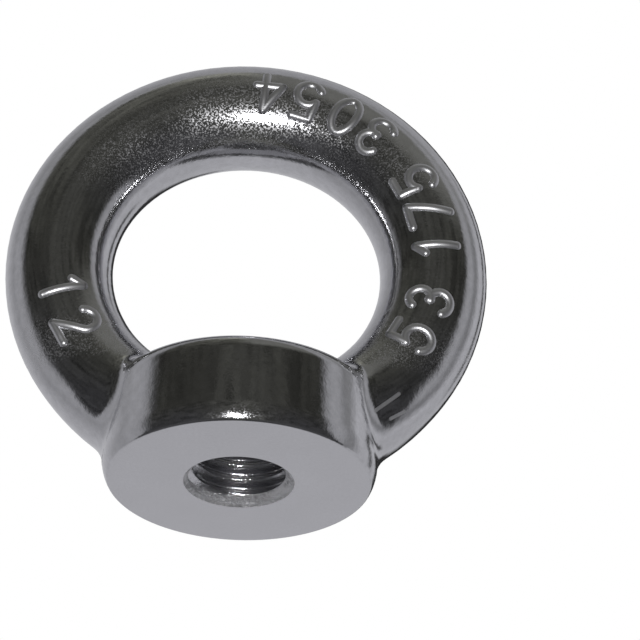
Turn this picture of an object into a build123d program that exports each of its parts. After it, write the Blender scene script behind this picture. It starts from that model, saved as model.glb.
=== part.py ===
from build123d import *
import os
from math import acos, cos, degrees, pi, radians, sin

# Lifting eye nut M12: one forged and tapped piece, in millimetres.
# The thread runs along Z, the base face lies on Z = 0, and the eye stands above it in the XZ plane, open along Y.

# Thread
thread_diameter = 12.0
thread_pitch = 1.75
mouth_margin = 0.05  # how far the bore's mouths reach past the thread's crest, on the radius

# Collar
collar_diameter = 30.0
collar_height = 10.7
top_rim_radius = 2.0
base_rim_radius = 2.0  # the forging's round lower rim, before its base is faced
base_rim_inset = 0.7  # facing cuts the round short, this far inside the collar's side

# Eye
eye_inner_diameter = 30.0
crown_section = 12.0  # the bar's diameter at the crown
foot_thickness = 14.0  # the bar's thickness along Y where it meets the collar
saddle_rise = 0.3  # from the collar's top face up to the lowest point of the eye's opening
thickening_start = 30.0  # degrees below the level of the ring's centre
thickening_end = 60.0
arm_fillet_radius = 3.5  # blend between the arms and the collar

# Worked out from the above
bore_diameter = thread_diameter - 1.0825 * thread_pitch  # minor diameter of the internal thread
mouth_diameter = thread_diameter + 2 * mouth_margin
mouth_depth = (mouth_diameter - bore_diameter) / 2  # 90 degree cone
bar_radius = crown_section / 2
ring_radius = eye_inner_diameter / 2 + bar_radius  # to the middle of the bar
saddle_height = collar_height + saddle_rise
eye_centre_height = saddle_height + eye_inner_diameter / 2


def section_plane(angle):
    """The plane across the bar where the ring has turned by angle below the level of its centre. Its X runs to the
    ring's centre, so that each section starts on the inside of the ring."""
    turn = radians(angle)
    middle = (ring_radius * cos(turn), 0, eye_centre_height - ring_radius * sin(turn))
    return Plane(origin=middle, x_dir=(-cos(turn), 0, sin(turn)), z_dir=(-sin(turn), 0, -cos(turn)))


def arm_section(angle):
    """The arm's section at that angle: as round as the crown at thickening_start, thicker along Y from there on."""
    share = (angle - thickening_start) / (thickening_end - thickening_start)
    growth = (1 - cos(pi * min(max(share, 0), 1))) / 2
    thickness = crown_section + (foot_thickness - crown_section) * growth
    return section_plane(angle) * scale(Circle(bar_radius), by=(1, thickness / crown_section, 1))


# Crown and sides of the ring: a plain torus about the eye's axis
eye_axis = Axis((0, 0, eye_centre_height), (0, -1, 0))
crown = revolve(section_plane(thickening_start) * Circle(bar_radius), eye_axis, 180 + 2 * thickening_start)

# Arms: the bar sweeps on to the middle of the collar and thickens on its way
eye_plane = Plane(origin=(0, 0, eye_centre_height), x_dir=(1, 0, 0), z_dir=(0, -1, 0))
arm_path = eye_plane * CenterArc((0, 0), ring_radius, -thickening_start, thickening_start - 90)
arm_turn = 90 - thickening_start
arm_steps = 5
arm_sections = [arm_section(thickening_start + arm_turn * i / arm_steps) for i in range(arm_steps + 1)]
right_arm = sweep(arm_sections, arm_path, multisection=True)
left_arm = mirror(right_arm, Plane.YZ)
ring = split(crown + right_arm + left_arm, Plane.XY, keep=Keep.TOP)  # nothing reaches below the base face

# Collar: turned from its outline, with its seam at the front, clear of the arms
collar_radius = collar_diameter / 2
base_rim_turn = acos(1 - base_rim_inset / base_rim_radius)
base_rim_height = base_rim_radius * sin(base_rim_turn)
outline = [
    Line((0, 0), (collar_radius - base_rim_inset, 0)),
    CenterArc((collar_radius - base_rim_radius, base_rim_height), base_rim_radius,
              -degrees(base_rim_turn), degrees(base_rim_turn)),
    Line((collar_radius, base_rim_height), (collar_radius, collar_height - top_rim_radius)),
    CenterArc((collar_radius - top_rim_radius, collar_height - top_rim_radius), top_rim_radius, 0, 90),
    Line((collar_radius - top_rim_radius, collar_height), (0, collar_height)),
    Line((0, collar_height), (0, 0)),
]
front_plane = Plane(origin=(0, 0, 0), x_dir=(0, -1, 0), z_dir=(-1, 0, 0))
collar = revolve(front_plane * make_face(outline), Axis.Z, 360)

# The arms blend into the collar all the way round their feet and over the collar's rim
nut = ring + collar
meeting_edges = nut.edges().filter_by(GeomType.BSPLINE)
foot_edges = [edge for edge in meeting_edges if collar.distance_to(Vertex(*(edge @ 0.5))) < 0.01]
nut = fillet(foot_edges, arm_fillet_radius)

# Bore: right through, with a cone at each mouth. The upper one is sunk into the saddle between the arms.
on_base = (Align.CENTER, Align.CENTER, Align.MIN)
bore = Cylinder(bore_diameter / 2, saddle_height, align=on_base)
base_mouth = Cone(mouth_diameter / 2, bore_diameter / 2, mouth_depth, align=on_base)
saddle_cut = Cylinder(mouth_diameter / 2, bar_radius, align=on_base)
top_mouth = Pos(0, 0, saddle_height) * (Rot(180, 0, 0) * base_mouth + saddle_cut)
nut = nut - bore - base_mouth - top_mouth

os.makedirs("parts", exist_ok=True)
export_step(nut, "parts/eye_nut.step")

box = nut.bounding_box()
print("volume", round(nut.volume, 1), "valid", nut.is_valid, "solids", len(nut.solids()), "faces", len(nut.faces()))
print("size", [round(v, 3) for v in box.size], "from", [round(v, 3) for v in box.min])
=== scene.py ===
# %% [markdown]
# # A lifting eye nut in polished steel
# This lesson dresses one forged eye nut. The solid comes packed from the CAD, in metres, with +Z up
# along the thread and the eye in the XZ plane. We first read that frame, then set the camera and the
# studio, and only then the metal itself, because a mirror-like part shows mostly what stands round it.

# %% Load the frame
import math
import bpy
from mathutils import Matrix, Vector


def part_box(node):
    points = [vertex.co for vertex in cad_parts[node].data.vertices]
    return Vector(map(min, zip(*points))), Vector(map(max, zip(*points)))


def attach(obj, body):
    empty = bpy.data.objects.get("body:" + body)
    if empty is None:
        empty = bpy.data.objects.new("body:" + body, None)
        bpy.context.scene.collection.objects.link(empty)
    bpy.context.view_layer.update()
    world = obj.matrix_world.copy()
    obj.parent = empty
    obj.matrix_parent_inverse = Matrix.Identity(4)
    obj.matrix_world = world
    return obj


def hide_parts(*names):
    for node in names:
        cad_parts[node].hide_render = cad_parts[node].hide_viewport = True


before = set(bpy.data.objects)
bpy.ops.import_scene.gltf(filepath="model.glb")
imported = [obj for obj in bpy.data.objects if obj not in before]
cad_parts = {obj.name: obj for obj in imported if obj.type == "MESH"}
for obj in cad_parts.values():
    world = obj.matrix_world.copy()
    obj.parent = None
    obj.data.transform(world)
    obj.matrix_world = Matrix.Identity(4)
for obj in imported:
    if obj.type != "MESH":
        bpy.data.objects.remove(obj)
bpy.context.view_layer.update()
MM = 0.001
nut_low, nut_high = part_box("eye_nut")
print("CAD box in mm:", [round(v / MM, 2) for v in (*nut_low, *nut_high)])

# %% [markdown]
# ## The sizes that the pieces share
# The nut takes an M12 thread. Thread and bar have textbook sizes, and the collar and the saddle between
# the arms' feet have the heights of the solid. We name those once and work everything else out from them
# and from the CAD box, so that each later cell can speak of the eye's centre or the bore's radius.

# %% Name the sizes
THREAD_DIAMETER = 12.0 * MM
THREAD_PITCH = 1.75 * MM
MINOR_PITCHES = 0.54125  # how many pitches the minor radius lies inside the nominal one
MOUTH_MARGIN = 0.05 * MM
BAR_DIAMETER = 12.0 * MM
COLLAR_HEIGHT = 10.7 * MM
SADDLE_HEIGHT = 11.0 * MM
NEAR = 0.02 * MM
eye_outside = nut_high.x - nut_low.x
eye_centre = Vector((0, 0, nut_high.z - eye_outside / 2))
bar_radius = BAR_DIAMETER / 2
ring_radius = eye_outside / 2 - bar_radius
eye_radius = ring_radius - bar_radius
collar_radius = (nut_high.y - nut_low.y) / 2
bore_radius = THREAD_DIAMETER / 2 - MINOR_PITCHES * THREAD_PITCH
mouth_radius = THREAD_DIAMETER / 2 + MOUTH_MARGIN
print("eye centre at", round(eye_centre.z / MM, 2), "mm, ring radius", round(ring_radius / MM, 2), "mm")
print("bore radius", round(bore_radius / MM, 3), "mm, mouth radius", round(mouth_radius / MM, 3), "mm")

# %% [markdown]
# ## The camera
# The nut is seen from in front and a little below, so that the tapped base shows as an oval under the
# eye. A long lens keeps the ring from looking stretched. We could drag the camera about by hand, but
# numbers are easier to correct: we aim by azimuth and elevation round the eye's centre, as with a tripod,
# then slide the camera sideways to place the nut left of the middle.

# %% Aim the camera
CAMERA_AZIMUTH = math.radians(-1.557)
CAMERA_ELEVATION = math.radians(-29.667)
CAMERA_ROLL = math.radians(1.47)


def towards(azimuth, elevation):
    """The direction of something seen from the nut, with azimuth 0 in front and growing to the right."""
    return Vector((
        math.sin(azimuth) * math.cos(elevation),
        -math.cos(azimuth) * math.cos(elevation),
        math.sin(elevation),
    ))


towards_camera = towards(CAMERA_AZIMUTH, CAMERA_ELEVATION)
level_right = Vector((math.cos(CAMERA_AZIMUTH), math.sin(CAMERA_AZIMUTH), 0))
level_up = towards_camera.cross(level_right).normalized()
roll = Matrix.Rotation(CAMERA_ROLL, 3, towards_camera)
camera_right, camera_up = roll @ level_right, roll @ level_up
print("the camera stands towards", [round(v, 3) for v in towards_camera])

# %% Put the camera on its tripod
CAMERA_DISTANCE = 400.3 * MM
CAMERA_SLIDE = (8.239 * MM, -4.942 * MM)
CAMERA_LENS = 200.55
SENSOR_WIDTH = 36.0
NEAREST_SEEN = 10 * MM

camera_data = bpy.data.cameras.new("tripod_camera")
camera_data.sensor_width = SENSOR_WIDTH
camera_data.lens = CAMERA_LENS
camera_data.clip_start = NEAREST_SEEN
camera = bpy.data.objects.new("tripod_camera", camera_data)
bpy.context.scene.collection.objects.link(camera)
facing = Matrix((camera_right, camera_up, towards_camera)).transposed().to_4x4()
facing.translation = (
    eye_centre
    + towards_camera * CAMERA_DISTANCE
    + camera_right * CAMERA_SLIDE[0]
    + camera_up * CAMERA_SLIDE[1]
)
camera.matrix_world = facing
bpy.context.scene.camera = camera
bpy.context.scene.view_settings.view_transform = "Standard"
print("camera at mm:", [round(v / MM, 1) for v in camera.location])

# %% [markdown]
# ## Helpers for the nodes
# By hand we would drag shader nodes in one by one and wire them up. Each helper here does one such step:
# it adds a node, fills in its sockets and hands back what comes out of it. A shader can then be written
# and read like a sum.


# %% Add nodes, ramps and steps
def add_node(tree, kind, inputs=None, **settings):
    """Add a node, set its own properties, then the inputs named or numbered in inputs."""
    node = tree.nodes.new(kind)
    for name, value in settings.items():
        setattr(node, name, value)
    for name, value in (inputs or {}).items():
        if isinstance(value, bpy.types.NodeSocket):
            tree.links.new(value, node.inputs[name])
        else:
            node.inputs[name].default_value = value
    return node


def add_ramp(tree, value, stops):
    """A colour ramp read at value, with stops of (place, grey or colour)."""
    node = add_node(tree, "ShaderNodeValToRGB", {0: value})
    ramp = node.color_ramp
    while len(ramp.elements) > 1:
        ramp.elements.remove(ramp.elements[-1])
    for number, (place, shade) in enumerate(stops):
        stop = ramp.elements[0] if number == 0 else ramp.elements.new(place)
        stop.position = place
        stop.color = (*shade, 1) if isinstance(shade, tuple) else (shade, shade, shade, 1)
    return node.outputs["Color"]


def add_step(tree, value, low, high):
    """A soft step from 0 to 1 as value goes from low to high."""
    return add_node(tree, "ShaderNodeMapRange", {"Value": value, "From Min": low, "From Max": high},
                    interpolation_type="SMOOTHSTEP").outputs[0]


print("helpers:", ", ".join(helper.__name__ for helper in (add_node, add_ramp, add_step)))


# %% Add sums, mixes and noise
def add_math(tree, operation, first, second=0.0):
    """One operation on one or two numbers."""
    return add_node(tree, "ShaderNodeMath", {0: first, 1: second}, operation=operation).outputs[0]


def add_vector_math(tree, operation, inputs, output=0):
    """One operation on vectors, whose inputs are numbered as on the node."""
    return add_node(tree, "ShaderNodeVectorMath", inputs, operation=operation).outputs[output]


def add_line(tree, value, slope, start):
    """value times slope, plus start."""
    terms = {0: value, 1: slope, 2: start}
    return add_node(tree, "ShaderNodeMath", terms, operation="MULTIPLY_ADD").outputs[0]


def add_product(tree, *masks):
    """All the masks multiplied, so that only what lies in every one of them stays."""
    product = masks[0]
    for mask in masks[1:]:
        product = add_math(tree, "MULTIPLY", product, mask)
    return product


def add_mix(tree, factor, first, second):
    """Mix two colours."""
    return add_node(tree, "ShaderNodeMix", {0: factor, 6: first, 7: second}, data_type="RGBA").outputs[2]


def add_noise(tree, place, size, detail=2.0, roughness=0.5):
    """Noise whose lumps are about size across."""
    inputs = {"Vector": place, "Scale": 1.0 / size, "Detail": detail, "Roughness": roughness}
    return add_node(tree, "ShaderNodeTexNoise", inputs).outputs[0]


sums = (add_math, add_vector_math, add_line, add_product, add_mix, add_noise)
print("helpers:", ", ".join(helper.__name__ for helper in sums))

# %% [markdown]
# ## The studio
# Polished steel has almost no colour of its own: what we see on it is the room. We could build a room of
# cards and lamps, but a world shader is lighter and easier to correct. Ours holds two upright strips of
# brightness, one for a pale sweep behind and beside the nut and one for the dark room in front of it. A
# third strip says how much of the sweep we meet on the way round.

# %% Measure each ray's way
world = bpy.data.worlds.new("studio_world")
bpy.context.scene.world = world
world.use_nodes = True
sky = world.node_tree
sky.nodes.clear()

ray_way = add_node(sky, "ShaderNodeTexCoord").outputs["Generated"]
way_x, way_y, way_z = add_node(sky, "ShaderNodeSeparateXYZ", {0: ray_way}).outputs
# a colour ramp reads 0 to 1, so straight down becomes 0 and straight up 1
height = add_line(sky, way_z, 0.5, 0.5)
turn = add_math(sky, "ARCTAN2", way_x, add_math(sky, "MULTIPLY", way_y, -1.0))
degrees_round = add_math(sky, "MULTIPLY", turn, 180 / math.pi)
# in the same way, the back on the left becomes 0, the front a half and the back on the right 1
place_round = add_line(sky, degrees_round, 1 / 360, 0.5)
print("a ray's height and its degrees round:", len(sky.nodes), "nodes")

# %% Paint the sweep and the dark room
COOL, WARM = (1.0, 1.0, 1.045), (1.02, 1.02, 0.88)
# brightness by height, from straight down (-1) to straight up (+1)
SWEEP = ((-1, 0.56), (0.5, 0.58), (0.76, 0.46), (1, 0.40))
ROOM = ((-1, 0.06), (-0.9, 0.075), (-0.7, 0.07), (-0.5, 0.05), (-0.3, 0.042), (0.5, 0.038), (0.64, 0.055),
        (0.78, 0.085), (0.9, 0.11), (0.966, 0.14), (1, 0.37))
# how much of the sweep we meet, by degrees round from the front
SHARE = ((-180, 1), (-142, 0.92), (-128, 0.78), (-113, 0.62), (-104, 0.72), (-92, 0.70), (-87, 0.55),
         (-82, 0.25), (-78, 0.07), (-74, 0), (68, 0), (71, 0.15), (74, 0.45), (78, 0.66), (86, 0.74),
         (92, 0.62), (97, 0.44), (102, 0.42), (107, 0.68), (114, 1), (125, 0.92), (150, 0.94), (180, 1))


def strip_stop(up, brightness, tint):
    """A stop of a strip: where the height up lies on it, and the tinted brightness there."""
    return 0.5 + 0.5 * up, tuple(brightness * part for part in tint)


sweep = add_ramp(sky, height, [strip_stop(up, brightness, COOL) for up, brightness in SWEEP])
dark_room = add_ramp(sky, height, [strip_stop(up, brightness, WARM if up > 0 else COOL)
                                   for up, brightness in ROOM])
share = add_ramp(sky, place_round, [(0.5 + degrees / 360, part) for degrees, part in SHARE])
print("strips with", len(SWEEP), "and", len(ROOM), "heights and", len(SHARE), "turns")

# %% [markdown]
# ## What stands in the room
# An empty dark room would leave the steel flat. Ours glows a little in front, holds a soft clutter, and
# has a paler panel above and to the right. The sweep is a level sheet, so its lower edge lies low behind
# the nut and higher at its sides. On the sweep behind the nut on the right lie two painted shadows of the
# nut, dark patches in the world that the metal mirrors as thin dark lines along its right edges.

# %% Furnish the dark room
GLOW_COLOUR = (0.074, 0.074, 0.066, 1)
GLOW_DEGREES = (45, 0)
GLOW_TOP = (0.7, 0.45)
CLUTTER_SIZE = 0.10
CLUTTER_SWING, CLUTTER_LEAST = 3.2, -0.6
PANEL_COLOUR = (0.19, 0.19, 0.175, 1)
PANEL_DEGREES = (-8, 14)
PANEL_FOOT = (0.56, 0.82)

off_front = add_math(sky, "ABSOLUTE", degrees_round)
glow = add_product(sky, add_step(sky, off_front, *GLOW_DEGREES), add_step(sky, way_z, *GLOW_TOP))
dark_room = add_mix(sky, glow, dark_room, GLOW_COLOUR)
clutter = add_line(sky, add_noise(sky, ray_way, CLUTTER_SIZE, detail=3.0), CLUTTER_SWING, CLUTTER_LEAST)
dark_room = add_vector_math(sky, "SCALE", {0: dark_room, 3: clutter})
panel = add_product(sky, add_step(sky, degrees_round, *PANEL_DEGREES), add_step(sky, way_z, *PANEL_FOOT))
dark_room = add_mix(sky, panel, dark_room, PANEL_COLOUR)
print("with the glow, the clutter and the panel:", len(sky.nodes), "nodes")

# %% Set the sweep's edge and its painted shadows
SHEET_SLOPE = 0.9
SHEET_EDGE = (-0.42, -0.24)
# each dark thing is a painted shadow of the nut on the sweep: it goes from one turn in degrees to another,
# and has its own brightness
PAINTED_SHADOWS = ((127, 139, 0.07), (149, 177, 0.03))
SHADOW_EDGE_DEGREES = 5
SHADOW_FOOT = (-0.05, 0.2)
SHADOW_TOP = (0.8, 0.66)

sheet_line = add_math(sky, "ADD", way_z, add_math(sky, "MULTIPLY", way_y, SHEET_SLOPE))
share = add_product(sky, share, add_step(sky, sheet_line, *SHEET_EDGE))
around = add_mix(sky, share, dark_room, sweep)
# darken the mirrored sweep where each painted shadow of the nut lies
for start, end, brightness in PAINTED_SHADOWS:
    painted_shadow = add_product(
        sky,
        add_step(sky, degrees_round, start, start + SHADOW_EDGE_DEGREES),
        add_step(sky, degrees_round, end, end - SHADOW_EDGE_DEGREES),
        add_step(sky, way_z, *SHADOW_FOOT),
        add_step(sky, way_z, *SHADOW_TOP),
    )
    around = add_mix(sky, painted_shadow, around, (brightness, brightness, brightness, 1))
print("with the sweep and", len(PAINTED_SHADOWS), "dark things:", len(sky.nodes), "nodes")

# %% [markdown]
# ## Who sees the room
# Only rays that bounce off the metal meet this room. Rays that light the floor get an even soft white
# instead, and rays straight from the camera see a white ground. The Light Path node tells them apart.

# %% Send each ray to its light
WHITE = (1, 1, 1, 1)
EVEN_STRENGTH = 0.8

mirror_light = add_node(sky, "ShaderNodeBackground", {"Color": around})
even_light = add_node(sky, "ShaderNodeBackground", {"Color": WHITE, "Strength": EVEN_STRENGTH})
white_ground = add_node(sky, "ShaderNodeBackground", {"Color": WHITE, "Strength": 1.0})
ray = add_node(sky, "ShaderNodeLightPath")
lit = add_node(sky, "ShaderNodeMixShader",
               {0: ray.outputs["Is Glossy Ray"], 1: even_light.outputs[0], 2: mirror_light.outputs[0]})
seen = add_node(sky, "ShaderNodeMixShader",
                {0: ray.outputs["Is Camera Ray"], 1: lit.outputs[0], 2: white_ground.outputs[0]})
add_node(sky, "ShaderNodeOutputWorld", {0: seen.outputs[0]})
print("world nodes:", len(sky.nodes))

# %% [markdown]
# ## The floor
# The floor lies just under the tapped base. The camera looks up from below it, so its underside is clear:
# Backfacing swaps the paint for a Transparent shader. The metal doesn't mirror the floor, because the
# world already says what it should see down there.

# %% Lay the floor
FLOOR_DROP = 0.05 * MM
FLOOR_SIZE = 4.0
FLOOR_COLOUR = (0.86, 0.86, 0.86, 1)
FLOOR_ROUGHNESS = 0.9


def deselect_all():
    """Leave edit mode if need be, and select nothing."""
    if bpy.context.object and bpy.context.object.mode != "OBJECT":
        bpy.ops.object.mode_set(mode="OBJECT")
    bpy.ops.object.select_all(action="DESELECT")


deselect_all()
bpy.ops.mesh.primitive_plane_add(size=FLOOR_SIZE, location=(0, 0, nut_low.z - FLOOR_DROP))
floor = bpy.context.object
floor.name = "pale_floor"
floor_paint = bpy.data.materials.new("pale_floor_paint")
floor_paint.use_nodes = True
paint = floor_paint.node_tree
shader = paint.nodes["Principled BSDF"]
shader.inputs["Base Color"].default_value = FLOOR_COLOUR
shader.inputs["Roughness"].default_value = FLOOR_ROUGHNESS
side = add_node(paint, "ShaderNodeNewGeometry")
clear = add_node(paint, "ShaderNodeBsdfTransparent")
one_sided = add_node(paint, "ShaderNodeMixShader",
                     {0: side.outputs["Backfacing"], 1: shader.outputs[0], 2: clear.outputs[0]})
paint.links.new(one_sided.outputs[0], paint.nodes["Material Output"].inputs[0])
floor.data.materials.append(floor_paint)
floor.visible_glossy = False
floor.visible_shadow = False
print("floor at", round(floor.location.z / MM, 2), "mm")

# %% [markdown]
# ## The lamps
# A wide soft box above lights the floor and lays the nut's shadow on it, and is hidden from the metal.
# One small flash stands close beside the camera: on mirror-like metal it leaves the few hard white
# glints. Both are round area lamps, because a point lamp casts a hard shadow and mirrors as nothing.

# %% Hang the lamps
SOFT_BOX_SIZE = 350 * MM
SOFT_BOX_WATTS = 2.0
SOFT_BOX_PLACE = Vector((-0.25, -0.2, 0.6))
SOFT_BOX_AIM = Vector((0, 0, 0.02))
FLASH_SIZE = 65 * MM
FLASH_WATTS = 0.95
FLASH_DISTANCE = 420 * MM
FLASH_WAY = towards(math.radians(-5), math.radians(-26))


def hang_lamp(name, size, watts, place, aim, seen_in_metal):
    """A round area lamp at place that shines at aim."""
    data = bpy.data.lights.new(name, "AREA")
    data.shape = "DISK"
    data.size = size
    data.energy = watts
    lamp = bpy.data.objects.new(name, data)
    bpy.context.scene.collection.objects.link(lamp)
    lamp.location = place
    lamp.rotation_euler = (aim - place).to_track_quat("-Z", "Y").to_euler()
    lamp.visible_glossy = seen_in_metal


flash_place = eye_centre + FLASH_WAY * FLASH_DISTANCE
hang_lamp("soft_box", SOFT_BOX_SIZE, SOFT_BOX_WATTS, SOFT_BOX_PLACE, SOFT_BOX_AIM, seen_in_metal=False)
hang_lamp("flash", FLASH_SIZE, FLASH_WATTS, flash_place, eye_centre, seen_in_metal=True)

# %% [markdown]
# ## The tumbled finish
# The nut is stainless steel, forged and then tumbled bright. Tumbling leaves a mirror with a fine orange
# peel: least along the arms and on the collar, most where the stones reached badly, at the crown and the
# feet. The forged body and its raised numbers both wear it, so it is one node group, and each steel asks
# for its own amount. We first work out where the peel lies, from the piece's own coordinates. A noise
# hovers round one half, so a soft step between two edges near it turns it into patches.


# %% Open the peel group
def new_group(name, inputs, outputs):
    """A shader node group with its inputs, which have defaults, and its outputs, all of them numbers."""
    group = bpy.data.node_groups.new(name, "ShaderNodeTree")
    for given, default in inputs.items():
        socket = group.interface.new_socket(name=given, in_out="INPUT", socket_type="NodeSocketFloat")
        socket.default_value = default
    for output in outputs:
        group.interface.new_socket(name=output, in_out="OUTPUT", socket_type="NodeSocketFloat")
    return group


peel = new_group("orange_peel", {"Amount": 1.0}, ("Height", "Roughness", "Shade"))
wanted_amount = add_node(peel, "NodeGroupInput").outputs["Amount"]
place = add_node(peel, "ShaderNodeTexCoord").outputs["Object"]
level = add_node(peel, "ShaderNodeSeparateXYZ", {0: place}).outputs["Z"]
off_middle = add_math(peel, "ABSOLUTE", add_math(peel, "SUBTRACT", level, eye_centre.z))
in_ring_plane = add_vector_math(peel, "MULTIPLY_ADD", {0: place, 1: (1, 0, 1), 2: (0, 0, -eye_centre.z)})
from_centre = add_vector_math(peel, "LENGTH", {0: in_ring_plane}, "Value")
print("heights and distances on the nut:", len(peel.nodes), "nodes")

# %% Find where the stones missed
ARM_CLEAN, ARM_MISSED = 4 * MM, 14 * MM  # above or below the eye's centre
FOOT_FADE = 2 * MM
RIM_BAND = (3 * MM, 1.5 * MM)
RIM_PEEL = 0.25
RUBBED_FADE, RUBBED_WIDTH = 0.9 * MM, 0.35 * MM  # from the inside of the eye, where hooks rub
OUTER_START, OUTER_FULL = -0.5 * MM, 2.5 * MM  # from the middle of the bar
CROWN_FADE = 8 * MM
CROWN_POLISH = 0.7

on_ring = add_step(peel, level, COLLAR_HEIGHT, COLLAR_HEIGHT + FOOT_FADE)
on_crown = add_step(peel, level, eye_centre.z, eye_centre.z + CROWN_FADE)
outer_half = add_step(peel, from_centre, ring_radius + OUTER_START, ring_radius + OUTER_FULL)
rubbed = add_step(peel, from_centre, eye_radius + RUBBED_FADE, eye_radius + RUBBED_WIDTH)
on_rim = add_product(peel, add_step(peel, level, *RIM_BAND), RIM_PEEL)
missed = add_product(
    peel,
    add_step(peel, off_middle, ARM_CLEAN, ARM_MISSED),
    on_ring,
    add_line(peel, add_product(peel, outer_half, on_crown), -CROWN_POLISH, 1.0),
)
missed = add_math(peel, "MAXIMUM", add_math(peel, "SUBTRACT", missed, rubbed), on_rim)
print("where the stones missed:", len(peel.nodes), "nodes")

# %% Say how much peel lies there
PEEL_LEAST, PEEL_MOST = 0.12, 1.0
PATCH_SIZE = 9 * MM
PATCH_EDGES = (0.35, 0.65)
PATCH_SWING, PATCH_LEAST = 0.6, 0.5

patches = add_step(peel, add_noise(peel, place, PATCH_SIZE, detail=3.0), *PATCH_EDGES)
amount = add_product(
    peel,
    add_line(peel, missed, PEEL_MOST - PEEL_LEAST, PEEL_LEAST),
    add_line(peel, patches, PATCH_SWING, PATCH_LEAST),
    wanted_amount,
)
print("with the peel's amount:", len(peel.nodes), "nodes")

# %% [markdown]
# ## Lumps, specks and mottling
# Close up, the peel is fine lumps on longer ripples, with dull specks between. The ripples and a faint
# mottling of the shade run over the whole skin. Two pale scuffs lie on the right foot, where the nut has
# been knocked: each is a short line, found by how far a place is from the nearest point along it.

# %% Make the peel
PEEL_SIZE = 0.3 * MM
RIPPLE_SIZE = 0.8 * MM
SPECK_SIZE = 0.19 * MM
SPECK_EDGES = (0.42, 0.68)
SPECK_DULL, PEEL_DULL = 0.38, 0.01
POLISH = 0.075
MOTTLE_SIZE = 0.9 * MM
MOTTLE_SWING, MOTTLE_LEAST = 3.0, -1.0

lumps = add_noise(peel, place, PEEL_SIZE, detail=2.0, roughness=0.6)
ripples = add_noise(peel, place, RIPPLE_SIZE, detail=3.0, roughness=0.6)
bumps = add_math(peel, "ADD", add_product(peel, lumps, amount), ripples)
specks = add_step(peel, add_noise(peel, place, SPECK_SIZE, detail=2.0), *SPECK_EDGES)
gloss = add_line(peel, amount, add_line(peel, specks, SPECK_DULL, PEEL_DULL), POLISH)
mottling = add_noise(peel, place, MOTTLE_SIZE, detail=4.0, roughness=0.6)
mottling = add_line(peel, mottling, MOTTLE_SWING, MOTTLE_LEAST)
print("with lumps, ripples, specks and mottling:", len(peel.nodes), "nodes")

# %% Scuff the right foot
SCUFF_DULL = 0.45
SCUFF_WIDTH = 0.5 * MM
SCUFF_EDGES = (0.6 * SCUFF_WIDTH, 0.3 * SCUFF_WIDTH)
# each scuff runs from one place on the foot to another, in mm
SCUFFS = (((14.5, -5.8, 6.4), (17.0, -5.5, 8.7)), ((16.2, -4.4, 6.2), (17.7, -4.1, 7.3)))


def add_scuff(tree, place, start, end):
    """1 along the line from start to end, and 0 away from it."""
    start, end = Vector(start) * MM, Vector(end) * MM
    along = (end - start).normalized()
    half = (end - start).length / 2
    off = add_vector_math(tree, "SUBTRACT", {0: place, 1: (start + end) / 2})
    run = add_vector_math(tree, "DOT_PRODUCT", {0: off, 1: along}, "Value")
    run = add_math(tree, "MINIMUM", add_math(tree, "MAXIMUM", run, -half), half)
    nearest = add_vector_math(tree, "SCALE", {0: along, 3: run})
    gap = add_vector_math(tree, "DISTANCE", {0: off, 1: nearest}, "Value")
    return add_step(tree, gap, *SCUFF_EDGES)


for start, end in SCUFFS:
    scuff = add_product(peel, add_scuff(peel, place, start, end), SCUFF_DULL)
    gloss = add_math(peel, "MAXIMUM", gloss, scuff)
add_node(peel, "NodeGroupOutput", {"Height": bumps, "Roughness": gloss, "Shade": mottling})
print("peel group:", len(peel.nodes), "nodes,", len(SCUFFS), "scuffs")

# %% [markdown]
# ## The forged skin
# Each steel is one Principled shader with Metallic at 1, so that its colour only tints what it mirrors.
# The skin takes its roughness, shade and bumps from the peel. A Bump node suits marks as shallow as
# these: in the mesh they would cost millions of faces.

# %% Make the tumbled steel
STEEL_COLOUR = (0.61, 0.61, 0.63, 1)
STEEL_MOTTLED = (0.54, 0.54, 0.555, 1)
PEEL_BUMP = 0.018 * MM


def new_steel(name):
    """A plain steel, with the tree and the shader that the finish is added to."""
    steel = bpy.data.materials.new(name)
    steel.use_nodes = True
    tree = steel.node_tree
    metal = tree.nodes["Principled BSDF"]
    metal.inputs["Base Color"].default_value = STEEL_COLOUR
    metal.inputs["Metallic"].default_value = 1.0
    return steel, tree, metal


def use_peel(tree, amount):
    """Place the peel group in a material, and hand back its outputs."""
    return add_node(tree, "ShaderNodeGroup", {"Amount": amount}, node_tree=peel).outputs


def add_bump(tree, metal, bump_height, distance):
    """Bump the metal, with a height of 1 standing distance proud."""
    bump = add_node(tree, "ShaderNodeBump", {"Height": bump_height, "Distance": distance, "Strength": 1.0})
    tree.links.new(bump.outputs[0], metal.inputs["Normal"])


tumbled_steel, tree, metal = new_steel("tumbled_steel")
skin = use_peel(tree, 1.0)
shade = add_mix(tree, skin["Shade"], STEEL_MOTTLED, STEEL_COLOUR)
tree.links.new(skin["Roughness"], metal.inputs["Roughness"])
tree.links.new(shade, metal.inputs["Base Color"])
add_bump(tree, metal, skin["Height"], PEEL_BUMP)
print(tumbled_steel.name, "has", len(tree.nodes), "nodes")

# %% [markdown]
# ## The faced base
# The base is faced on a lathe and then tumbled with the rest, which leaves it satin: evenly rough, with a
# fine grain in its shade and slow clouds behind it. Turning rings could be drawn, but the stones have
# rubbed them away.

# %% Make the faced steel
STEEL_FACED = (0.62, 0.62, 0.64, 1)
STEEL_DULLED = (0.52, 0.52, 0.535, 1)
FACED_ROUGHNESS = 0.26
GRAIN_SIZE = 0.35 * MM
GRAIN_BUMP = 0.004 * MM
CLOUD_SIZE = 5 * MM
CLOUD_SHARE = 0.4

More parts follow.
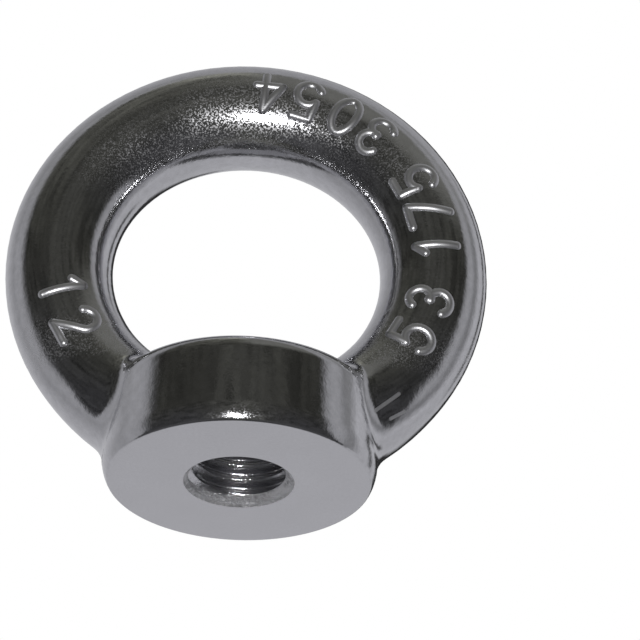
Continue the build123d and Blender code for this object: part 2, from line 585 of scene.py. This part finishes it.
faced_steel, tree, metal = new_steel("faced_steel")
metal.inputs["Roughness"].default_value = FACED_ROUGHNESS
place = add_node(tree, "ShaderNodeTexCoord").outputs["Object"]
grain = add_noise(tree, place, GRAIN_SIZE, detail=2.0)
clouds = add_noise(tree, place, CLOUD_SIZE, detail=3.0)
shade = add_mix(tree, add_mix(tree, CLOUD_SHARE, grain, clouds), STEEL_DULLED, STEEL_FACED)
tree.links.new(shade, metal.inputs["Base Color"])
add_bump(tree, metal, grain, GRAIN_BUMP)
print(faced_steel.name, "has", len(tree.nodes), "nodes")

# %% [markdown]
# ## The tapped hole
# A tap leaves its flanks bright, while the countersink has torn the metal at the mouth. Both lie in one
# surface, so one steel does for the hole: it turns rough, bumpy and, in the worst patches, dark as it
# nears the mouth.

# %% Make the tapped steel
BURR_COLOUR = (0.28, 0.28, 0.29, 1)
BURR_HEIGHT = 1.0 * MM
BURR_FADE = (1.15 * BURR_HEIGHT, 0.8 * BURR_HEIGHT)
BURR_SIZE = 0.35 * MM
BURR_EDGES = (0.38, 0.62)
BURR_BUMP = 0.02 * MM
BURR_RISE, FLANK_RISE = 5.0, 0.6
WORST_SIZE = 3 * MM
WORST_EDGES = (0.38, 0.6)
TAPPED_ROUGHNESS, TORN_ROUGHER = 0.15, 0.4

tapped_steel, tree, metal = new_steel("tapped_steel")
place = add_node(tree, "ShaderNodeTexCoord").outputs["Object"]
level = add_node(tree, "ShaderNodeSeparateXYZ", {0: place}).outputs["Z"]
torn = add_step(tree, level, *BURR_FADE)
burrs = add_step(tree, add_noise(tree, place, BURR_SIZE, detail=3.0, roughness=0.6), *BURR_EDGES)
worst = add_step(tree, add_noise(tree, place, WORST_SIZE, detail=2.0), *WORST_EDGES)
shade = add_mix(tree, add_product(tree, torn, burrs, worst), STEEL_COLOUR, BURR_COLOUR)
tree.links.new(add_line(tree, torn, TORN_ROUGHER, TAPPED_ROUGHNESS), metal.inputs["Roughness"])
tree.links.new(shade, metal.inputs["Base Color"])
add_bump(tree, metal, add_product(tree, burrs, add_line(tree, torn, BURR_RISE, FLANK_RISE)), BURR_BUMP)
print(tapped_steel.name, "has", len(tree.nodes), "nodes")

# %% [markdown]
# ## The steel of the raised numbers
# The numbers come out of the die rough, and the stones only touch their backs. Their steel is duller all
# over, with a share of the same peel, so that they catch the light as soft ribs.

# %% Make the raised steel
RAISED_ROUGHNESS = 0.4
RAISED_PEEL = 0.6

raised_steel, tree, metal = new_steel("raised_steel")
metal.inputs["Roughness"].default_value = RAISED_ROUGHNESS
add_bump(tree, metal, use_peel(tree, RAISED_PEEL)["Height"], PEEL_BUMP)
print(raised_steel.name, "has", len(tree.nodes), "nodes")

# %% [markdown]
# ## The body
# The real nut is drop forged in one piece, then its base is faced and its hole drilled, countersunk and
# tapped. We keep that order. We could sweep the ring and its feet again, but the CAD mesh already has
# them right, so we copy it, merge its seams, and machine only the rim, the base and the hole anew.

# %% Copy the forging
SEAM = 0.001 * MM


def pick(thing):
    """Select one piece alone and make it the active one."""
    deselect_all()
    bpy.context.view_layer.objects.active = thing
    thing.select_set(True)


def go_edit(thing):
    """Open one piece in edit mode."""
    pick(thing)
    bpy.ops.object.mode_set(mode="EDIT")


def leave_edit():
    """Go back to object mode, which writes the edits to the mesh."""
    bpy.ops.object.mode_set(mode="OBJECT")


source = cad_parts["eye_nut"]
body = bpy.data.objects.new("nut_body", source.data.copy())
bpy.context.scene.collection.objects.link(body)
pick(body)
bpy.ops.mesh.customdata_custom_splitnormals_clear()
go_edit(body)
bpy.ops.mesh.select_all(action="SELECT")
bpy.ops.mesh.remove_doubles(threshold=SEAM)
bpy.ops.mesh.mark_sharp(clear=True)
leave_edit()
print("forging:", len(body.data.polygons), "faces")

# %% [markdown]
# ## The rim and the base
# The collar ends in a large soft round, which the facing of the base has cut short, and the edge that
# this left is slightly broken. Bevel could round one edge, but here two rounds of different size meet. We
# clear the old rim, base and countersink, and close the bore over for now. Then we extrude the collar's
# last ring of edges down and in, step by step along both rounds, and fill it with the new base.

# %% Tell the old end apart
OLD_RIM_HEIGHT = 1.55 * MM
OLD_RIM_WIDTH = 1.0 * MM
FACING_DOWN = -0.9
countersink_depth = mouth_radius - bore_radius


def reach_of(place):
    """How far a place is from the thread's axis."""
    return math.hypot(place.x, place.y)


def in_old_rim(place):
    """Whether a place lies on the CAD's rim, low down on the collar's outside."""
    return reach_of(place) > collar_radius - OLD_RIM_WIDTH and place.z < OLD_RIM_HEIGHT


def in_old_end(face):
    """Whether a face belongs to the old rim, the old base or the countersink in it."""
    in_base = face.center.z < nut_low.z + NEAR and face.normal.z < FACING_DOWN
    in_countersink = reach_of(face.center) < mouth_radius and face.center.z < countersink_depth - NEAR
    return in_base or in_countersink or in_old_rim(face.center)


def on_bore_edge(corner):
    """Whether a corner lies on the open edge that the cleared countersink leaves."""
    return reach_of(corner.co) < mouth_radius and corner.co.z < countersink_depth + NEAR


old_end = sum(in_old_end(face) for face in body.data.polygons)
print("the old rim, base and countersink have", old_end, "faces")


# %% Clear the old end
def select_where(thing, kind, wanted):
    """In edit mode, select the corners ("VERT") or the faces ("FACE") that are wanted, and count them."""
    bpy.ops.mesh.select_mode(type=kind)
    bpy.ops.mesh.select_all(action="DESELECT")
    leave_edit()
    all_parts = thing.data.vertices if kind == "VERT" else thing.data.polygons
    chosen = [part for part in all_parts if wanted(part)]
    for part in chosen:
        part.select = True
    go_edit(thing)
    return len(chosen)


go_edit(body)
cleared = select_where(body, "FACE", in_old_end)
bpy.ops.mesh.delete(type="FACE")
bore_corners = select_where(body, "VERT", on_bore_edge)
bpy.ops.mesh.edge_face_add()
print("cleared", cleared, "faces, closed the bore over", bore_corners, "corners")

# %% Outline the rim
RIM_RADIUS = 4.0 * MM
RIM_TURN = 29
EDGE_RADIUS = 0.4 * MM
BASE_TURN = 90
ROUND_STEPS = 8


def round_outline(radius, start, end):
    """How far in and how far down each step of a round goes, as it turns from start to end in degrees."""
    turns = [math.radians(start + (end - start) * i / ROUND_STEPS) for i in range(ROUND_STEPS + 1)]
    return [(radius * (math.cos(a) - math.cos(b)), radius * (math.sin(b) - math.sin(a)))
            for a, b in zip(turns, turns[1:])]


rim_outline = round_outline(RIM_RADIUS, 0, RIM_TURN) + round_outline(EDGE_RADIUS, RIM_TURN, BASE_TURN)
rim_height = sum(down for _, down in rim_outline)
print("the rim turns in", len(rim_outline), "steps and is", round(rim_height / MM, 2), "mm high")


# %% Round the rim and face the base
def flatten():
    """In edit mode, bring all that is selected level with the base."""
    bpy.ops.transform.resize(value=(1, 1, 0), center_override=(0, 0, 0))


def face_outwards():
    """In edit mode, turn every face to the outside."""
    bpy.ops.mesh.select_all(action="SELECT")
    bpy.ops.mesh.normals_make_consistent(inside=False)


rim_corners = select_where(body, "VERT", lambda corner: in_old_rim(corner.co))
flatten()
bpy.ops.transform.translate(value=(0, 0, rim_height))
radius = collar_radius
for inward, down in rim_outline:
    bpy.ops.mesh.extrude_edges_move(TRANSFORM_OT_translate={"value": (0, 0, -down)})
    shrink = (radius - inward) / radius
    bpy.ops.transform.resize(value=(shrink, shrink, 1), center_override=(0, 0, 0))
    radius -= inward
flatten()
bpy.ops.mesh.edge_face_add()
face_outwards()
leave_edit()
print("rim:", rim_corners, "corners round; faced:", len(body.data.polygons), "faces")

# %% [markdown]
# ## Drill and countersink
# One cutter does what a drill and a countersink do at both ends of the hole. A cylinder and two cones
# could be joined, but a single turned shape has no seams: we start from a disc below the base, and
# extrude and scale it up along the outline. It is a hair larger than the hole in the CAD, and much finer.

# %% Outline the drill
HAIR = 0.015 * MM
EYE_CLEAR = 3.0 * MM
hole_radius = bore_radius + HAIR
flare_radius = mouth_radius + HAIR
flare_depth = flare_radius - hole_radius
# each step up the drill: its radius, and its height over the base
drill_outline = (
    (hole_radius, flare_depth),
    (hole_radius, SADDLE_HEIGHT - flare_depth),
    (flare_radius, SADDLE_HEIGHT),
    (flare_radius, SADDLE_HEIGHT + EYE_CLEAR),
)
print("drill radius", round(hole_radius / MM, 3), "mm, countersinks", round(flare_depth / MM, 3), "mm deep")

# %% Turn the drill
DRILL_SIDES = 160
OVERSHOOT = 1.0 * MM

last_radius, last_top = flare_radius + OVERSHOOT, -OVERSHOOT
deselect_all()
bpy.ops.mesh.primitive_circle_add(vertices=DRILL_SIDES, radius=last_radius, fill_type="NGON",
                                  location=(0, 0, nut_low.z + last_top))
drill = bpy.context.object
drill.name = "drill_and_countersink"
bpy.ops.object.transform_apply(location=True)
go_edit(drill)
bpy.ops.mesh.select_all(action="SELECT")
for radius, top in drill_outline:
    bpy.ops.mesh.extrude_region_move(TRANSFORM_OT_translate={"value": (0, 0, top - last_top)})
    widen = radius / last_radius
    bpy.ops.transform.resize(value=(widen, widen, 1), center_override=(0, 0, 0))
    last_radius, last_top = radius, top
face_outwards()
leave_edit()
print("drill:", len(drill.data.polygons), "faces, top at", round(last_top / MM, 2), "mm")


# %% Cut with the drill
def apply_modifier(thing, name, kind, **settings):
    """Add a modifier with its settings, and apply it at once."""
    pick(thing)
    modifier = thing.modifiers.new(name, kind)
    for setting, value in settings.items():
        setattr(modifier, setting, value)
    bpy.ops.object.modifier_apply(modifier=modifier.name)


def cut(thing, tool):
    """Cut the tool's shape out of the thing, and put the tool away."""
    apply_modifier(thing, "cut", "BOOLEAN", operation="DIFFERENCE", solver="EXACT", object=tool)
    bpy.data.objects.remove(tool)


cut(body, drill)
print("drilled:", len(body.data.polygons), "faces")

# %% [markdown]
# ## Tap the thread
# A tap cuts a groove of 60 degrees that climbs one pitch a turn, and wear rounds its point and the
# corners that it leaves. A bump would do from afar, but the groove shows in the mouth, so it is cut. We
# draw the outline of one tooth, let the Screw modifier carry it up the hole, close its two ends and cut
# with it.

# %% Turn the tap
STARTER = 1 * MM  # the size of a primitive whose corners all move
TURN_STEPS = 80
TAP_CLEAR = 3 * MM
# half a tooth in mm: how far out from the thread's axis, and how far from the tooth's middle. The flank
# leans 30 degrees, with a round to the hole's wall before it and a round to the tooth's point after it
TOOTH_HALF = ((4.85, 0.84), (5.055, 0.80), (5.075, 0.735), (5.115, 0.67), (5.18, 0.605), (5.27, 0.535),
              (5.85, 0.20), (5.91, 0.155), (5.96, 0.095), (5.99, 0.03))
tooth_outline = [(r, -half) for r, half in TOOTH_HALF] + [(r, half) for r, half in reversed(TOOTH_HALF)]
tap_turns = math.ceil((SADDLE_HEIGHT + TAP_CLEAR) / THREAD_PITCH) + 1

deselect_all()
bpy.ops.mesh.primitive_circle_add(vertices=len(tooth_outline), radius=STARTER, fill_type="NOTHING")
tap = bpy.context.object
tap.name = "tap"
for corner, (reach, rise) in zip(tap.data.vertices, tooth_outline):
    corner.co = (reach * MM, 0, rise * MM - THREAD_PITCH)
apply_modifier(tap, "helix", "SCREW", axis="Z", angle=2 * math.pi, screw_offset=THREAD_PITCH,
               iterations=tap_turns, steps=TURN_STEPS, render_steps=TURN_STEPS,
               use_merge_vertices=False, use_smooth_shade=False)
go_edit(tap)
bpy.ops.mesh.select_mode(type="EDGE")
bpy.ops.mesh.select_all(action="DESELECT")
bpy.ops.mesh.select_non_manifold(extend=False)
bpy.ops.mesh.edge_face_add()
face_outwards()
leave_edit()
print("tap:", len(tap.data.polygons), "faces,", tap_turns, "turns")

# %% Cut the thread
cut(body, tap)
print("tapped:", len(body.data.polygons), "faces")

# %% [markdown]
# ## Finish the body
# The base, the hole and the forged skin were finished by different tools, so each takes its own steel,
# given face by face from where it lies. Smooth shading stops only where two faces meet at a clear angle,
# as they do at the hole's mouth.

# %% Give the body its steels
SHARP_DEGREES = 28


def smooth(thing, sharp_degrees):
    """Shade smooth, except where two faces meet at more than sharp_degrees."""
    pick(thing)
    bpy.ops.object.shade_smooth_by_angle(angle=math.radians(sharp_degrees))


def give_steels(thing, steels):
    """Put the steels in the piece's material slots, in their order."""
    thing.data.materials.clear()
    for steel in steels:
        thing.data.materials.append(steel)


def body_steel(face):
    """The steel of one face of the body, from where it lies."""
    face_level = face.center.z - nut_low.z
    if face_level < NEAR and face.normal.z < FACING_DOWN:
        return faced_steel
    if reach_of(face.center) < mouth_radius + NEAR and NEAR < face_level < SADDLE_HEIGHT + EYE_CLEAR:
        return tapped_steel
    return tumbled_steel


body_steels = [tumbled_steel, faced_steel, tapped_steel]
smooth(body, SHARP_DEGREES)
give_steels(body, body_steels)
for face in body.data.polygons:
    face.material_index = body_steels.index(body_steel(face))
slots = [face.material_index for face in body.data.polygons]
print("faces:", {steel.name: slots.count(number) for number, steel in enumerate(body_steels)})
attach(body, "root")
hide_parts("eye_nut")

# %% [markdown]
# ## The raised numbers
# A forging die leaves its marks standing proud as soft, rounded ribs. Ours are plain sizes in millimetres:
# 12 for the thread, 53 for the height, 30 and 54 for the eye inside and outside, and 175 for the pitch in
# hundredths. A font would give flat, sharp letters, so each figure is a few strokes instead, drawn as
# lines in a cell of its own.

# %% Draw the figures
ARC_DEGREES = 15


def arc(x, y, width, height, start, end):
    """Points on an oval round (x, y), from start to end in degrees."""
    steps = max(2, round(abs(end - start) / ARC_DEGREES))
    angles = [math.radians(start + (end - start) * i / steps) for i in range(steps + 1)]
    return [(x + width * math.cos(a), y + height * math.sin(a)) for a in angles]


# the strokes of each figure, in a cell that is 1 high, with its middle at the origin
STROKES = {
    "0": [arc(0, 0, 0.29, 0.5, 90, 450)],
    "1": [[(-0.2, 0.27), (0.03, 0.5)], [(0.03, 0.5), (0.03, -0.5)]],
    "2": [arc(0, 0.22, 0.29, 0.28, 165, -35) + [(-0.3, -0.5)], [(-0.3, -0.5), (0.31, -0.5)]],
    "3": [arc(0, 0.24, 0.27, 0.26, 150, -90), arc(0, -0.24, 0.3, 0.26, 90, -150)],
    "4": [[(0.12, -0.5), (0.12, 0.5)], [(0.12, 0.5), (-0.32, -0.17)], [(-0.32, -0.17), (0.34, -0.17)]],
    "5": [[(0.26, 0.5), (-0.2, 0.5)], [(-0.2, 0.5), (-0.24, 0.06)], arc(0, -0.17, 0.31, 0.33, 140, -150)],
    "7": [[(-0.3, 0.5), (0.3, 0.5)], [(0.3, 0.5), (-0.06, -0.5)]],
}
print("figures", ", ".join(STROKES), "of", sum(len(strokes) for strokes in STROKES.values()), "strokes")

# %% [markdown]
# ## From a line to a rib
# Each stroke starts as a line in the flat, drawn corner by corner just in front of the bar. Shrinkwrap
# lays it on the bar, and a curve's round section thickens it. It is sunk a little, so that only the rib's
# back stands out, and a ball closes each end.

# %% Draw a line
FIGURE_HEIGHT = 4.5 * MM
RIB_STEP = 0.3 * MM


def spaced(points):
    """The same line with its long stretches cut up, so that it can bend with the bar."""
    line = [points[0]]
    for (x0, y0), (x1, y1) in zip(points, points[1:]):
        cuts = max(1, math.ceil(math.hypot(x1 - x0, y1 - y0) * FIGURE_HEIGHT / RIB_STEP))
        line += [(x0 + (x1 - x0) * i / cuts, y0 + (y1 - y0) * i / cuts) for i in range(1, cuts + 1)]
    return line


def draw_line(name, line):
    """A line drawn as by hand: a plane merged to one corner, then that corner extruded point to point."""
    deselect_all()
    bpy.ops.mesh.primitive_plane_add(size=STARTER, location=line[0])
    bpy.ops.object.transform_apply(location=True)
    bpy.ops.object.mode_set(mode="EDIT")
    bpy.ops.mesh.select_mode(type="VERT")
    bpy.ops.mesh.select_all(action="SELECT")
    bpy.ops.mesh.merge(type="CENTER")
    for here, there in zip(line, line[1:]):
        bpy.ops.mesh.extrude_vertices_move(TRANSFORM_OT_translate={"value": there - here})
    leave_edit()
    bpy.context.object.name = name
    return bpy.context.object


longest = max(len(spaced(points)) for strokes in STROKES.values() for points in strokes)
print("the longest stroke has", longest, "corners")

# %% Stand it in front of the bar
IN_FRONT = 2 * MM


def place_on_ring(x, y, degrees):
    """Where a point of a figure starts, just in front of the bar, when the figure stands at degrees."""
    angle = math.radians(degrees)
    turned = Matrix.Rotation(-(angle + math.pi / 2), 3, "Y") @ Matrix.Rotation(math.pi / 2, 3, "X")
    spot = eye_centre + ring_radius * Vector((math.cos(angle), 0, math.sin(angle)))
    spot.y -= bar_radius + IN_FRONT
    return spot + turned @ Vector((x, y, 0)) * FIGURE_HEIGHT


top_of_eye = place_on_ring(0, 0, 90)
print("a figure at the top of the eye starts at mm:", [round(v / MM, 1) for v in top_of_eye])

# %% Make a rib of it
RIB_RADIUS = 0.56 * MM
RIB_SUNK = 0.22 * MM
RIB_ROUNDNESS = 4
BALL_SEGMENTS, BALL_RINGS = 16, 10


def set_stroke(points, degrees):
    """One rib of a figure, with a ball to close each of its ends."""
    stroke = draw_line("stroke", [place_on_ring(x, y, degrees) for x, y in spaced(points)])
    apply_modifier(stroke, "lay", "SHRINKWRAP", target=body, wrap_method="PROJECT", use_project_y=True,
                   use_positive_direction=True, use_negative_direction=False)
    go_edit(stroke)
    bpy.ops.mesh.select_all(action="SELECT")
    bpy.ops.transform.translate(value=(0, RIB_SUNK, 0))
    leave_edit()
    ends = [stroke.data.vertices[0].co.copy(), stroke.data.vertices[-1].co.copy()]
    bpy.ops.object.convert(target="CURVE")
    stroke.data.dimensions = "3D"
    stroke.data.bevel_depth = RIB_RADIUS
    stroke.data.bevel_resolution = RIB_ROUNDNESS
    stroke.data.use_fill_caps = True
    bpy.ops.object.convert(target="MESH")
    parts = [bpy.context.object]
    for end in ends:
        deselect_all()
        bpy.ops.mesh.primitive_uv_sphere_add(segments=BALL_SEGMENTS, ring_count=BALL_RINGS,
                                             radius=RIB_RADIUS, location=end)
        bpy.ops.object.transform_apply(location=True)
        parts.append(bpy.context.object)
    return parts


print("a rib stands", round((RIB_RADIUS - RIB_SUNK) / MM, 2), "mm out of the bar")

# %% [markdown]
# ## Lay the numbers on the bar
# The figures read counter-clockwise round the eye, with their heads towards its middle. All their ribs
# are joined in one piece, as they came from one die. It reaches a little way into the body, so that no
# gap can open between the two.

# %% Lay the figures
# each number, and where its figures stand, in degrees round the eye from the right
MARKS = {"12": (196, 209), "53": (-29, -15.5), "175": (4, 16, 28), "3054": (48, 60, 73, 85)}
RIB_SHARP_DEGREES = 60

ribs = []
for text, angles in MARKS.items():
    for sign, degrees in zip(text, angles):
        for points in STROKES[sign]:
            ribs += set_stroke(points, degrees)
deselect_all()
for rib in ribs:
    rib.select_set(True)
bpy.context.view_layer.objects.active = ribs[0]
bpy.ops.object.join()
numbers = bpy.context.object
numbers.name = "raised_numbers"
go_edit(numbers)
face_outwards()
leave_edit()
smooth(numbers, RIB_SHARP_DEGREES)
give_steels(numbers, [raised_steel])
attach(numbers, "root")
print("numbers:", len(numbers.data.polygons), "faces, furthest forward at",
      round(min(corner.co.y for corner in numbers.data.vertices) / MM, 2), "mm")
